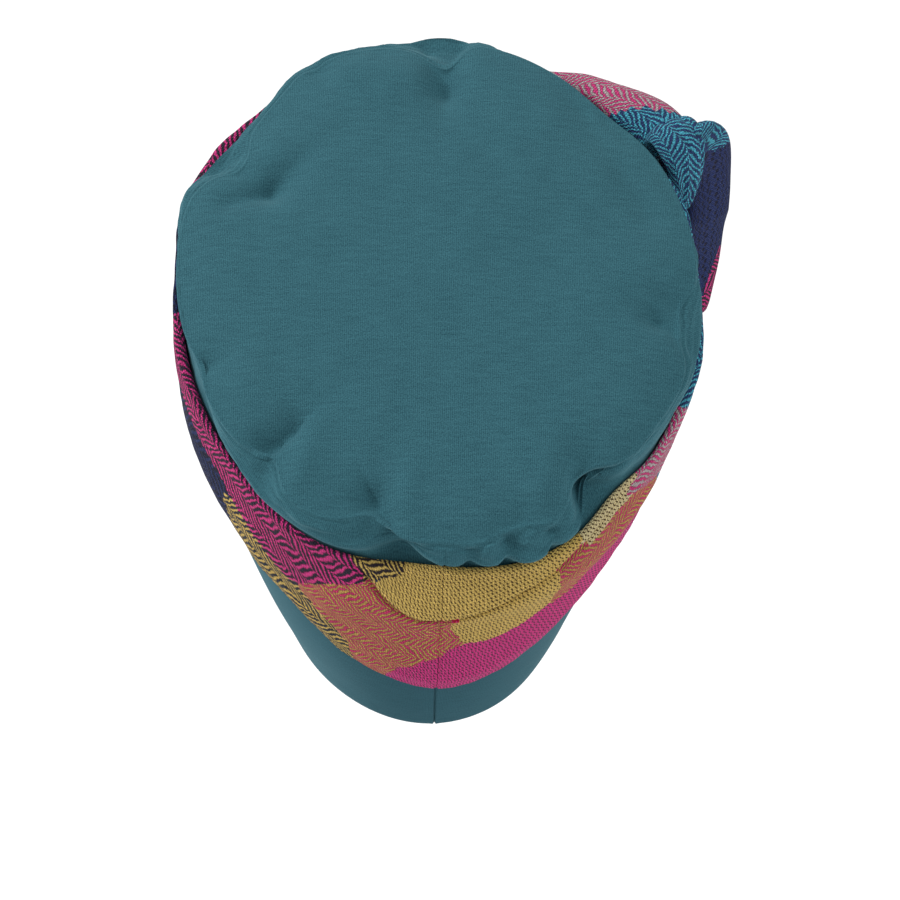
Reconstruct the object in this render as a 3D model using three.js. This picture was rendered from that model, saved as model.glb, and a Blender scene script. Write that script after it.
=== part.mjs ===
// Soft turban hat: a big gathered crown on a head band, with a knitted scarf wound once round it and
// knotted at the wearer's front right. Millimetres, +Z up. The wearer's front faces -Y, and the
// wearer's right is -X. The origin is the middle of the head opening.
//
// A place on the hat is given by three values: up, the distance from the opening along the hat's
// middle line; out, the distance outside the body's own surface; and angle, in degrees round the hat
// from the wearer's left (0) past the back (90), the right (180) and the front (270).
import * as THREE from 'three';
import { mergeVertices } from 'three/addons/utils/BufferGeometryUtils.js';

// Driving dimensions
const opening = { halfWidth: 75, halfDepth: 93, tilt: 17 };
const shoulder = { halfWidth: 121, halfDepth: 132, tilt: 30, up: 168, forward: 4 };
const leaning = { right: 4.2, curve: 2.2 };
const crown = { halfWidth: 125, halfDepth: 139, seamUp: 8, lap: 1, dome: 13, dentFade: 6 };
const dome = { low: 0.6, lowCurve: 2.4, edge: 0.4, edgeCurve: 9 };
const band = { low: 0, high: 98 };
const bulge = { from: 146, full: 166 };
const wall = { jersey: 2, knit: 4.4 };
const gap = { seam: 0.4, lap: 0.6, wrap: 1 };
const flare = 1.42;

// Where the rows of corners lie: heights on the side panel, turns over its rounded edge, and parts
// of the way from the middle of the top panel or from the scarf's hem
const sideRows = { low: 3, heights: [151, 156, 161], turns: [0.35, 0.7, 1] };
const bandRows = 6;
const topParts = [0, 0.16, 0.32, 0.48, 0.62, 0.75, 0.86, 0.94, 1];
const scarfParts = [0, 0.14, 0.28, 0.42, 0.56, 0.7, 0.84, 0.94, 1];
const segments = 72;

// Each ring is first turned at these rough radii, then its corners are moved to their places
const rough = { outside: 2, inside: 1 };
const sameCorner = 1e-4;
const quarterTurn = 90;
const wallTurn = 60;

// The knot: a loop of scarf that stands out from the hat, with the scarf's end coming out of it.
// Its own frame is outward, sideways and upright, from a point outside the scarf. The loop is wider
// at its top and narrower at its foot by topInner, topOuter, footInner and footOuter.
const knot = { up: 155, out: 31, angle: 212, facing: 214 };
const loop = { inner: -16, outer: 1, halfTall: 25, halfWide: 17, thick: 7, low: 3, segments: 28 };
const taper = { topInner: -5, topOuter: 5, footInner: 4, footOuter: -7 };
const tail = { thick: 7, edge: 1.5, sway: 5, swayFrom: -36, swayOver: 70, segments: 28 };

// Soft bays and lobes in the crown's outline
const crownLobes = [
  { angle: 20, out: -6, spread: 17 },
  { angle: 79, out: -8, spread: 7 },
  { angle: 112, out: 6, spread: 10 },
  { angle: 136, out: -5, spread: 10 },
  { angle: 165, out: 4, spread: 11 },
  { angle: 206, out: 4, spread: 9 },
  { angle: 228, out: -3, spread: 8 },
  { angle: 293, out: 1, spread: 14 },
  { angle: 315, out: -4, spread: 7 },
  { angle: 339, out: 7, spread: 9 },
];

// The top panel's seam: how far it lies outside the body round the hat, with its tucks
const seamOuts = [
  { angle: 17, out: -1.8 },
  { angle: 30, out: 0 },
  { angle: 46, out: -8 },
  { angle: 57, out: 2.2 },
  { angle: 65, out: 0.5 },
  { angle: 74, out: -8.4 },
  { angle: 84, out: 0 },
  { angle: 99, out: 3 },
  { angle: 107, out: 0 },
  { angle: 115, out: 3.8 },
  { angle: 127, out: -8.6 },
  { angle: 137, out: 0.5 },
  { angle: 155, out: 4.4 },
  { angle: 169, out: -3 },
  { angle: 181, out: 4 },
  { angle: 212, out: 6.5 },
  { angle: 255, out: 4.5 },
  { angle: 267, out: -12.5 },
  { angle: 280, out: 1 },
  { angle: 295, out: 5 },
  { angle: 312, out: 0 },
  { angle: 327, out: -9.6 },
  { angle: 339, out: 4.8 },
  { angle: 355, out: 4.2 },
];

// Dents and folds in the top panel, in its own plane: across to the wearer's left, back to the nape
const crownDents = [
  { across: -8, back: -116, long: 24, wide: 9, turn: 80, deep: 5 },
  { across: 74, back: -76, long: 32, wide: 14, turn: 130, deep: 6 },
  { across: 108, back: 34, long: 12, wide: 8, turn: 20, deep: 6 },
  { across: 77, back: 72, long: 18, wide: 9, turn: 45, deep: 5 },
  { across: 30, back: 104, long: 14, wide: 10, turn: 70, deep: 9 },
  { across: -69, back: 92, long: 20, wide: 9, turn: 95, deep: 11 },
  { across: -108, back: 12, long: 16, wide: 7, turn: 35, deep: 4 },
  { across: 0, back: 0, long: 60, wide: 55, turn: 0, deep: 3 },
];

// Where the scarf pulls the side panel in, under the crown's fullest line
const scarfPulls = [
  { angle: 40, in: 5.5, spread: 26 },
  { angle: 86, in: 7.5, spread: 18 },
  { angle: 135, in: 4.5, spread: 9 },
];
const pullHeights = { start: 118, full: 147, past: 152, end: 165 };

// Height of the scarf's lower hem and upper edge round the hat
const hemHeights = [
  { angle: 0, up: 92 },
  { angle: 47, up: 93 },
  { angle: 66, up: 69 },
  { angle: 90, up: 51 },
  { angle: 110, up: 60 },
  { angle: 127, up: 80 },
  { angle: 150, up: 92 },
  { angle: 270, up: 80 },
];
const edgeHeights = [
  { angle: 0, up: 156 },
  { angle: 45, up: 151 },
  { angle: 90, up: 152 },
  { angle: 140, up: 151 },
  { angle: 180, up: 156 },
  { angle: 205, up: 163 },
  { angle: 228, up: 168 },
  { angle: 250, up: 162 },
  { angle: 275, up: 156 },
  { angle: 320, up: 163 },
];

// Rolls of the scarf: up is the middle of each, tall and spread are its half sizes. The puff is the
// biggest of them, and starts beside the knot.
const scarfRolls = [
  { angle: 118, up: 130, out: 5, tall: 12, spread: 34 },
  { angle: 95, up: 62, out: 3.5, tall: 26, spread: 30 },
  { angle: 15, up: 132, out: 1, tall: 30, spread: 34 },
  { angle: 142, up: 112, out: -2, tall: 34, spread: 20 },
];
const puff = { angle: 218, up: 168, out: 21, tall: 24, spread: 12.6, start: 217.5, full: 221 };
const puffSegments = [217.5, 219.25, 221];
const edgeRounding = 0.55;

// The loop's section: along goes from its inner side to its outer, deep from its lining outwards
const loopSection = [
  { along: -1, deep: 0.25 },
  { along: -0.75, deep: 0.75 },
  { along: -0.3, deep: 1 },
  { along: 0.3, deep: 1.15 },
  { along: 0.8, deep: 0.8 },
  { along: 1, deep: 0.25 },
  { along: 0.8, deep: 0 },
  { along: -0.75, deep: 0 },
  { along: -1, deep: 0.25 },
];

// The outline of the scarf's end: a root inside the loop, and a flap that falls outside it
const tailOutline = [
  { outward: -15, upright: -12 },
  { outward: -15, upright: 5 },
  { outward: 5, upright: 8 },
  { outward: 9, upright: 15 },
  { outward: 16, upright: 13 },
  { outward: 21, upright: 3 },
  { outward: 24.5, upright: -16 },
  { outward: 25, upright: -32 },
  { outward: 24, upright: -62 },
  { outward: 21.5, upright: -88 },
  { outward: 14, upright: -98 },
  { outward: 6, upright: -90 },
  { outward: 4, upright: -64 },
  { outward: 3, upright: -44 },
  { outward: 3, upright: -30 },
  { outward: 5, upright: -16 },
];

// Colours
const teal = new THREE.Color(0x365f6e);
const tealShade = new THREE.Color(0x315764);
const magenta = new THREE.Color(0xb8407e);
const mustard = new THREE.Color(0xb99a4e);
const navy = new THREE.Color(0x34406e);
const roughness = { jersey: 0.9, knit: 0.95 };

const degree = Math.PI / 180;

// How near two angles are, as a soft bump of a given spread
function nearness(angle, middle, spread) {
  const turn = ((angle - middle + 540) % 360) - 180;
  return Math.exp(-((turn / spread) ** 2));
}

// The sum of one column of a table of bumps round the hat
function bumps(table, column, angle) {
  return table.reduce((sum, row) => sum + row[column] * nearness(angle, row.angle, row.spread), 0);
}

// One column read from a table of places round the hat, on a smooth curve through its rows
function roundTable(table, column, angle) {
  const count = table.length;
  const found = table.findIndex((row) => row.angle > angle);
  const next = found < 0 ? 0 : found;
  const row = (shift) => table[(next + shift + count) % count];
  const span = (from, to) => (to.angle - from.angle + 360) % 360;
  const slope = (from, to) => (to[column] - from[column]) / span(from, to);
  const width = span(row(-1), row(0));
  const part = ((angle - row(-1).angle + 360) % 360) / width;
  const start = width * slope(row(-2), row(0));
  const end = width * slope(row(-1), row(1));
  const rise = row(0)[column] - row(-1)[column];
  const bend = part * (1 - part) * ((1 - part) * (start - rise) - part * (end - rise));
  return row(-1)[column] + part * rise + bend;
}

// The body's section at a height: its half sizes, its lean and its middle
function sectionAt(up) {
  const rise = THREE.MathUtils.clamp(up / shoulder.up, 0, 1);
  const full = 1 - (1 - rise) ** flare;
  const lean = THREE.MathUtils.lerp(opening.tilt, shoulder.tilt, rise) * degree;
  const above = up - rise * shoulder.up;
  return {
    halfWidth: THREE.MathUtils.lerp(opening.halfWidth, shoulder.halfWidth, full),
    halfDepth: THREE.MathUtils.lerp(opening.halfDepth, shoulder.halfDepth, full),
    lean,
    across: -leaning.right * rise ** leaning.curve,
    back: above * Math.sin(lean) - shoulder.forward * rise * Math.cos(lean),
    height: rise * shoulder.up + above * Math.cos(lean),
  };
}

// The point at a height, a distance outside the body and an angle
function pointAt(up, out, angle) {
  const section = sectionAt(up);
  const across = section.across + (section.halfWidth + out) * Math.cos(angle * degree);
  const back = (section.halfDepth + out) * Math.sin(angle * degree);
  return new THREE.Vector3(
    across,
    section.back + back * Math.cos(section.lean),
    section.height - back * Math.sin(section.lean),
  );
}

// How far the crown's fullest line lies outside the body
function crownReach(angle) {
  const wide = crown.halfWidth - shoulder.halfWidth;
  const deep = crown.halfDepth - shoulder.halfDepth;
  const plain = THREE.MathUtils.lerp(wide, deep, Math.sin(angle * degree) ** 2);
  return plain + bumps(crownLobes, 'out', angle);
}

// Outside of the side panel and the band, which the scarf lies on
function bodyOut(up, angle) {
  const swell = THREE.MathUtils.smoothstep(up, bulge.from, bulge.full);
  const tucked = THREE.MathUtils.smoothstep(up, pullHeights.start, pullHeights.full);
  const released = THREE.MathUtils.smoothstep(up, pullHeights.past, pullHeights.end);
  const pulled = tucked * (1 - released) * bumps(scarfPulls, 'in', angle);
  return wall.jersey + (crownReach(angle) - wall.jersey) * swell - pulled;
}

// How far the top panel's seam lies outside the body
function seamOut(angle) {
  return roundTable(seamOuts, 'out', angle);
}

// How deep the dents are at a place on the top panel
function dentDepth(across, back) {
  return crownDents.reduce((sum, dent) => {
    const dx = across - dent.across;
    const dy = back - dent.back;
    const along = dx * Math.cos(dent.turn * degree) + dy * Math.sin(dent.turn * degree);
    const beside = dy * Math.cos(dent.turn * degree) - dx * Math.sin(dent.turn * degree);
    return sum + dent.deep * Math.exp(-((along / dent.long) ** 2) - (beside / dent.wide) ** 2);
  }, 0);
}

// A closed ring or cap turned from a loop of points, then moved to its place on the hat. The loop's
// points carry which row they are, and rowPlace turns a row and an angle into a point.
function turned(rows, rowPlace, angles = steps(0, 360, segments)) {
  const loop = rows.map((row, index) => new THREE.Vector2(row.radius, -index));
  const geometry = new THREE.LatheGeometry(loop, angles.length - 1);
  const position = geometry.attributes.position;
  for (let i = 0; i < position.count; i += 1) {
    const index = i % rows.length;
    const step = Math.floor(i / rows.length) % (angles.length - 1);
    const place = rowPlace(rows[index], angles[step]);
    position.setXYZ(i, place.x, place.y, place.z);
  }
  return closed(geometry);
}

// The same surface with shared corners, no flat slivers and its faces pointing out
function closed(geometry) {
  geometry.deleteAttribute('normal');
  geometry.deleteAttribute('uv');
  const merged = mergeVertices(geometry, sameCorner);
  const source = merged.index.array;
  const kept = [];
  for (let i = 0; i < source.length; i += 3) {
    const [a, b, c] = [source[i], source[i + 1], source[i + 2]];
    if (a !== b && b !== c && c !== a) kept.push(a, b, c);
  }
  if (enclosedVolume(merged.attributes.position, kept) < 0) kept.reverse();
  merged.setIndex(kept);
  merged.computeVertexNormals();
  return merged;
}

// The volume inside a closed surface, negative where its faces point in
function enclosedVolume(position, index) {
  const corner = (i) => new THREE.Vector3().fromBufferAttribute(position, index[i]);
  let volume = 0;
  for (let i = 0; i < index.length; i += 3) {
    volume += corner(i).dot(corner(i + 1).cross(corner(i + 2))) / 6;
  }
  return volume;
}

function mesh(name, geometry, color, matt) {
  const material = new THREE.MeshStandardMaterial({ color, roughness: matt });
  const part = new THREE.Mesh(geometry, material);
  part.name = name;
  return part;
}

// Evenly spaced values from one end to the other
function steps(from, to, count) {
  return Array.from({ length: count + 1 }, (_, i) => THREE.MathUtils.lerp(from, to, i / count));
}

// The lower band, from the head opening up to where the side panel is gathered into it
function headBand() {
  const heights = steps(band.low, band.high, bandRows);
  const outside = heights.map((up) => ({ radius: rough.outside, up, out: wall.jersey }));
  const inside = heights.toReversed().map((up) => ({ radius: rough.inside, up, out: 0 }));
  const rows = [...outside, ...inside, outside[0]];
  return turned(rows, (row, angle) => pointAt(row.up, row.out, angle));
}

// The gathered side panel: up the body, out round the crown's edge and in to the top seam
function crownSide() {
  const low = steps(band.high + gap.seam, bulge.from, sideRows.low);
  const heights = [...low, ...sideRows.heights, bulge.full];
  const wallRows = (inset) => [
    ...heights.map((up) => ({ radius: rough.outside, up, inset })),
    ...sideRows.turns.map((turn) => ({ radius: rough.outside, turn, inset })),
  ];
  const outside = wallRows(0);
  const inside = wallRows(wall.jersey).toReversed();
  const rows = [...outside, ...inside, outside[0]];
  return turned(rows, crownSidePoint);
}

// A point on the side panel, on its wall below the fullest line or on the rounded edge above it
function crownSidePoint(row, angle) {
  if (row.turn === undefined) return pointAt(row.up, bodyOut(row.up, angle) - row.inset, angle);
  const edge = edgeTurn(row.turn, angle);
  const lowered = edge.up - row.inset * Math.sin(row.turn * quarterTurn * degree);
  return pointAt(lowered, edge.out - row.inset * Math.cos(row.turn * wallTurn * degree), angle);
}

// The rounded edge between the crown's fullest line (turn 0) and its top seam (turn 1)
function edgeTurn(turn, angle) {
  const drawnIn = crownReach(angle) - seamOut(angle);
  return {
    out: crownReach(angle) - drawnIn * (1 - Math.cos(turn * quarterTurn * degree)),
    up: bulge.full + crown.seamUp * Math.sin(turn * quarterTurn * degree),
  };
}

// The top panel: a low dome with dents, its edge lapped over the side panel's
function crownTop() {
  const outside = topParts.map((part) => ({ radius: part, part, inset: 0 }));
  const inside = topParts.toReversed().map((part) => ({ radius: part, part, inset: wall.jersey }));
  return turned([...outside, ...inside], (row, angle) => crownTopPoint(row.part, row.inset, angle));
}

function crownTopPoint(part, inset, angle) {
  const seamUp = bulge.full + crown.seamUp + gap.lap + wall.jersey;
  const edge = seamOut(angle) + crown.lap;
  const across = part * (shoulder.halfWidth + edge) * Math.cos(angle * degree);
  const back = part * (shoulder.halfDepth + edge) * Math.sin(angle * degree);
  const fade = 1 - part ** crown.dentFade;
  const round = 1 - dome.low * part ** dome.lowCurve - dome.edge * part ** dome.edgeCurve;
  const rise = crown.dome * round - dentDepth(across, back) * fade;
  const lean = shoulder.tilt * degree;
  const middle = sectionAt(seamUp + rise - inset);
  return new THREE.Vector3(
    middle.across + across,
    middle.back + back * Math.cos(lean),
    middle.height - back * Math.sin(lean),
  );
}

// The knitted scarf, folded and wound round the band and the side panel
function scarfBand() {
  const outside = scarfParts.map((part) => ({ radius: rough.outside, part, lining: false }));
  const inside = scarfParts.toReversed().map((part) => ({ radius: rough.inside, part, lining: true }));
  const rows = [...outside, ...inside, outside[0]];
  const angles = [...steps(0, 360, segments), ...puffSegments].sort((a, b) => a - b);
  return turned(rows, scarfPoint, angles);
}

function scarfPoint(row, angle) {
  const hem = roundTable(hemHeights, 'up', angle);
  const edge = roundTable(edgeHeights, 'up', angle);
  const up = THREE.MathUtils.lerp(hem, edge, row.part);
  const under = bodyOut(up, angle) + gap.wrap;
  if (row.lining) return pointAt(up, under, angle);
  return pointAt(up, under + scarfThickness(up, row.part, angle), angle);
}

// The scarf's thickness: full between its rounded edges, with its rolls and its puff
function scarfThickness(up, part, angle) {
  const rounding = part === 0 || part === 1 ? edgeRounding : 1;
  const swelling = (row) => {
    const level = Math.exp(-(((up - row.up) / row.tall) ** 2));
    return row.out * level * nearness(angle, row.angle, row.spread);
  };
  const rolls = scarfRolls.reduce((sum, row) => sum + swelling(row), 0);
  const puffed = swelling(puff) * THREE.MathUtils.smoothstep(angle, puff.start, puff.full);
  return (wall.knit + rolls) * rounding + puffed;
}

// A point in the knot's own frame
function knotPoint(outward, sideways, upright) {
  const origin = pointAt(knot.up, knot.out, knot.angle);
  const facing = knot.facing * degree;
  return new THREE.Vector3(
    origin.x + outward * Math.cos(facing) - sideways * Math.sin(facing),
    origin.y + outward * Math.sin(facing) + sideways * Math.cos(facing),
    origin.z + upright,
  );
}

// The loop of scarf round the root of the scarf's end, its outer face puffed along the middle
function knotWrap() {
  const profile = loopSection.map((row) => new THREE.Vector2(rough.inside + row.deep, row.along));
  const geometry = new THREE.LatheGeometry(profile, loop.segments);
  const position = geometry.attributes.position;
  for (let i = 0; i < position.count; i += 1) {
    const row = loopSection[i % loopSection.length];
    const step = Math.floor(i / loopSection.length) % loop.segments;
    const place = loopPoint(row, ((step * 360) / loop.segments) * degree);
    position.setXYZ(i, place.x, place.y, place.z);
  }
  return closed(geometry);
}

// A point of the loop: turn is 0 at its top, and its width changes towards its top and its foot
function loopPoint(row, turn) {
  const inward = loop.thick * (1 - row.deep);
  const top = Math.max(Math.cos(turn), 0);
  const foot = Math.max(-Math.cos(turn), 0);
  const inner = loop.inner + taper.topInner * top + taper.footInner * foot;
  const outer = loop.outer + taper.topOuter * top + taper.footOuter * foot;
  const sideways = (loop.halfWide - inward) * Math.sin(turn);
  const upright = (loop.halfTall - inward) * Math.cos(turn) - loop.low;
  return knotPoint(THREE.MathUtils.lerp(inner, outer, (1 + row.along) / 2), sideways, upright);
}

// The end of the scarf: a folded flap that comes out of the loop and hangs
function scarfTail() {
  const curve = new THREE.CatmullRomCurve3(
    tailOutline.map((row) => new THREE.Vector3(row.outward, row.upright, 0)),
    true,
    'centripetal',
  );
  const outline = curve.getSpacedPoints(tail.segments).slice(0, -1);
  const shape = new THREE.Shape(outline.map((point) => new THREE.Vector2(point.x, point.y)));
  const geometry = new THREE.ExtrudeGeometry(shape, {
    depth: tail.thick - 2 * tail.edge,
    steps: 1,
    bevelEnabled: true,
    bevelThickness: tail.edge,
    bevelSize: tail.edge,
    bevelOffset: -tail.edge,
    bevelSegments: 1,
  });
  const position = geometry.attributes.position;
  for (let i = 0; i < position.count; i += 1) {
    const upright = position.getY(i);
    const fall = THREE.MathUtils.clamp((tail.swayFrom - upright) / tail.swayOver, 0, 1);
    const sideways = position.getZ(i) - tail.thick / 2 + tail.edge + tail.sway * Math.sin(fall * Math.PI);
    const place = knotPoint(position.getX(i), sideways, upright);
    position.setXYZ(i, place.x, place.y, place.z);
  }
  return closed(geometry);
}

const turban = new THREE.Group();
turban.add(
  mesh('crown_top', crownTop(), teal, roughness.jersey),
  mesh('crown_side', crownSide(), tealShade, roughness.jersey),
  mesh('head_band', headBand(), teal, roughness.jersey),
  mesh('scarf_band', scarfBand(), magenta, roughness.knit),
  mesh('knot_wrap', knotWrap(), mustard, roughness.knit),
  mesh('scarf_tail', scarfTail(), navy, roughness.knit),
);
export default turban;
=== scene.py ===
from functools import partial
from math import cos, pi, radians, sin
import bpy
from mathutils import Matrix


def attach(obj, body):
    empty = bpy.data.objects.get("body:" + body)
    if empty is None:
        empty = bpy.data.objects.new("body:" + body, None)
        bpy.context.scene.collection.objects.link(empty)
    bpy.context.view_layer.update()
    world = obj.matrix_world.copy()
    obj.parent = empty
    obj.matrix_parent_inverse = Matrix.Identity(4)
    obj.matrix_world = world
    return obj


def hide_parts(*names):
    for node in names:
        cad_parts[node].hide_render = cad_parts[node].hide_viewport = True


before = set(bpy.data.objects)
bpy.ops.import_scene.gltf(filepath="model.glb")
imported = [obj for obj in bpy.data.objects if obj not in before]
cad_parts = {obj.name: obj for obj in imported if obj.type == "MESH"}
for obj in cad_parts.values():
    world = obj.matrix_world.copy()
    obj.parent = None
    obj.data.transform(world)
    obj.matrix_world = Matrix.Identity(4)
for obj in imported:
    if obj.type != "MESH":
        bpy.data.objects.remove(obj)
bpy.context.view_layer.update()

from types import SimpleNamespace as Values

import bpy
import numpy as np
from mathutils import Vector, noise

# A soft turban hat: a gathered jersey crown on a head band, with a knitted scarf wound round it and
# knotted at the wearer's front right. The shapes are worked out in millimetres and made in metres.
# A place on the hat is given by up, its distance from the head opening along the hat's middle line,
# out, its distance outside the body, and angle, in degrees round the hat from the wearer's left (0)
# past the back (90), the right (180) and the front (270).
MM = 0.001


def table(names, *rows):
    """A table's rows, each with its values under the names of the columns."""
    titles = names.split()
    return [Values(**dict(zip(titles, row))) for row in rows]


# The hat's own sizes
OPENING = Values(half_width=75, half_depth=93, tilt=17)
SHOULDER = Values(half_width=121, half_depth=132, tilt=30, up=168, forward=4, right=4.2)
CROWN = Values(half_width=125, half_depth=139, dome=13, fullest=166)
FLARE = 1.42
SWELL_FROM = 146

# The band's own outside, its top under the scarf, and how far its edge is turned in
BAND = Values(out=2, top=104, turned_in=14, edge=1.2)

# Thicknesses of the cloths, and the gap between the scarf and what it lies on
JERSEY = 1.8
BAND_JERSEY = 1.0
KNIT = 4.4
WRAP_GAP = 1.0

# The back seam's angle, its groove and the soft shoulders beside it, and the angle past which an edge
# of cloth shades sharply
SEAM_ANGLE = 91.5
SEAM_GROOVE = 0.35
BAND_SEAM = Values(raised=0.35, spread=1.2, deep=1.3)
SHARP = 55

# Mean radii of the pieces, which give their lengths laid flat and the places where noise is read
FLAT_RADIUS = Values(side=128, band=98, scarf=124, top=128)
CROWN_RING = (125, 135)
BAND_RING = (90, 100)

# Soft bays and lobes in the crown's outline
CROWN_LOBES = table(
    "angle out spread",
    (20, -6, 17),
    (79, -8, 7),
    (112, 6, 10),
    (136, -5, 10),
    (165, 4, 11),
    (184, 3, 9),
    (206, 0.5, 9),
    (228, -7, 11),
    (247, -4.2, 9),
    (268, 4.2, 7),
    (298, 4, 12),
    (315, -3, 7),
    (339, 7, 9),
)

# The top panel's seam: how far it lies outside the body round the hat, with its tucks
SEAM_OUTS = [
    (4, 3), (12, 1), (19, -2.5), (24, -0.5), (29, 0), (38, -1.5), (43.5, -5.5), (47.5, -8.5), (54.5, 1),
    (62, 2.2), (68, -2), (72.5, -8), (77, -7.5), (82, -0.8), (90.5, 0.8), (99, 3), (104, 0),
    (109.5, 0.3), (115, 3.8), (119.5, 0), (124, -8), (130, -7.5), (135, -0.5), (140, 1.5), (147, 2.6),
    (153, 4), (158, 4.6), (162, 3), (166, -1.5), (171, -3.2), (175, -3), (180, 3.5), (190, 5),
    (200, 4.5), (212, 3), (225, -1.5), (240, 0.5), (255, 2.2), (261, 0.5), (266, -12), (269, -12),
    (275, -3.5), (281, 1.2), (290, 4.5), (295, 5), (298, 3.4), (302, 4.6), (308, 1.2), (315, -1.5),
    (320, -3.5), (325, -9), (330, -8.5), (334, 0), (338, 4.5), (342, 6), (348, 5.5),
]
SEAM_HEIGHT = 174.2

# Where the side panel's arch ends at the seam, in degrees
ARCH_END = 62

# The dents' profile: how round their bottoms are, how fast their sides rise, and how narrow a steep
# side is beside a plain one
CREASE_ROUND = 0.2
CREASE_POWER = 1.35
STEEP_SIDE = 0.3

# The lip on the top panel's side of the seam and the groove beside it
LIP = Values(high=0.32, from_seam=0.8, spread=0.8)
GROOVE = Values(deep=0.5, from_seam=1.0, spread=1.0)
SEAM_EDGE = 0.5

# Dents and folds in the top panel, in its own plane: across to the wearer's left, back to the nape.
# Each runs from a start to an end, along which its half width and its depth change. Some have one
# steep side.
CROWN_DENTS = table(
    "start end wide deep steep",
    ((-3, -132), (-6, -104), (6, 8), (4, 4)),
    ((-6, -104), (-14, -78), (8, 11), (3.5, 0.5)),
    ((14, -112), (40, -118), (9, 12), (-1.5, -1)),
    ((98, -64), (91, -58), (4, 5), (3, 1)),
    ((100, -43), (80, -49), (6, 7), (4, 5)),
    ((80, -49), (57, -73), (7, 7), (5, 1.5)),
    ((80, -68), (58, -90), (8, 12), (-1.5, -1)),
    ((59, -121), (54, -112), (4, 5), (3, 0.5)),
    ((110, 42), (102, 43), (5, 7), (5, 2)),
    ((83, 90), (66, 77), (8, 7), (9, 5), -1),
    ((64, 100), (58, 78), (6, 8), (-2.5, -1.5)),
    ((24, 124), (29, 110), (10, 9), (6, 4.5), -1),
    ((29, 110), (22, 103), (7, 7), (2, 0)),
    ((14, 114), (12, 102), (6, 7), (-1.5, -1)),
    ((-66, 98), (-72, 86), (6, 8), (4, 1)),
    ((-57, 108), (-61, 96), (3.5, 3.5), (-1.6, -1.8)),
    ((-48, 108), (-52, 94), (7, 9), (-1.5, -1)),
    ((-32, 128), (-45, 116), (4, 6), (2, 0.5)),
    ((-118, 27), (-104, 21), (4, 5), (5, 3)),
    ((-104, 21), (-88, 10), (5, 7), (3, 0.5)),
    ((-117, 16), (-107, 6), (4, 6), (3.5, 1)),
    ((-104, -34), (-71, -94), (8, 8), (2.4, 2.2)),
    ((-82, -93), (-92, -76), (2, 3), (1.6, 0.4)),
    ((-90, -88), (-97, -76), (2, 3), (1, 0.2)),
)

# Where the scarf pulls the side panel in, under the crown's fullest line
SCARF_PULLS = table(
    "angle inward spread",
    (40, 5.5, 26),
    (86, 6.5, 18),
    (135, 4.5, 9),
)
PULL_HEIGHTS = Values(start=118, full=147, past=152, end=165)

# Where the band is drawn in at the back right, and where its edge dips at the nape
BAND_PULL = Values(angle=144, inward=3.4, spread=20, start=-24, full=6, past=40, end=110)
NAPE = Values(angle=90, low=2.4, spread=26, end=40)

# Small folds of the side panel where it is gathered, narrow ones between the seam and the scarf
SIDE_FOLDS = table(
    "angle out spread",
    (40, -1.5, 4),
    (60, 1.2, 4),
    (82, -7, 5),
    (97, -3.6, 1.6),
    (101, 1.6, 1.8),
    (105, -4.2, 1.6),
    (110, 1.8, 2),
    (114.5, -4, 1.6),
    (120.5, 2.4, 2.2),
    (128.5, -14, 5.4),
    (174, 1.5, 5),
    (182, -1.5, 3),
    (245, -1.5, 5),
)

# Heights of the scarf's hem and upper edge round the hat
HEM_HEIGHTS = [(0, 92), (47, 93), (66, 69), (90, 51), (110, 58), (127, 73), (150, 86), (180, 90),
               (270, 80)]
EDGE_HEIGHTS = [(0, 156), (45, 151), (90, 152), (140, 151), (180, 156), (205, 163), (228, 168), (250, 162),
                (275, 156), (320, 163)]

# Rolls of the scarf: up is the middle of each, tall and spread are its half sizes
SCARF_ROLLS = table(
    "angle up out tall spread",
    (118, 130, 5, 12, 34),
    (95, 62, 3.5, 26, 30),
    (15, 132, 1.8, 30, 34),
    (142, 112, -2, 34, 20),
    (34, 118, -3, 34, 12),
    (171, 150, 3.6, 18, 13),
    (200, 154, 4, 18, 7),
    (322, 160, 4.5, 18, 12),
)

# The puff of scarf beside the knot, which rises steeply between the angles start and full
PUFF = Values(angle=215, up=170, out=25, tall=25, spread=20, start=212.5, full=215.5)


def nearness(angle, middle, spread):
    """How near angles are to a middle one, as a soft bump."""
    turn = (angle - middle + 540) % 360 - 180
    return np.exp(-((turn / spread) ** 2))


def near(angle, place):
    """How near angles are to a place that has an angle and a spread."""
    return nearness(angle, place.angle, place.spread)


def bell(value, middle, spread):
    """A soft bump around a middle value."""
    return np.exp(-(((value - middle) / spread) ** 2))


def ring_places(angle, radii, up):
    """Places round a ring, in millimetres, where the noise of a band of cloth is read."""
    turn = np.radians(angle)
    return np.stack([np.cos(turn) * radii[0], np.sin(turn) * radii[1], up], axis=-1)


def bumps(table, column, angle):
    """The sum of one column of a table of bumps round the hat."""
    return sum(getattr(row, column) * near(angle, row) for row in table)


def smooth(low, high, value):
    """A soft step from 0 at low to 1 at high."""
    part = np.clip((value - low) / (high - low), 0, 1)
    return part * part * (3 - 2 * part)


def height_at(table, angle):
    """A height read from a table of heights round the hat, on a smooth curve through its rows."""
    angles, heights = (np.array(column, float) for column in zip(*table))
    count = len(angles)
    after = np.searchsorted(angles, angle % 360, side="right") % count

    def row(shift):
        index = (after + shift) % count
        return angles[index], heights[index]

    (a0, h0), (a1, h1), (a2, h2), (a3, h3) = row(-2), row(-1), row(0), row(1)
    width = (a2 - a1) % 360
    part = ((angle - a1) % 360) / width
    start = width * (h2 - h0) / ((a2 - a0) % 360)
    end = width * (h3 - h1) / ((a3 - a1) % 360)
    rise = h2 - h1
    return h1 + part * rise + part * (1 - part) * ((1 - part) * (start - rise) - part * (end - rise))


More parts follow.
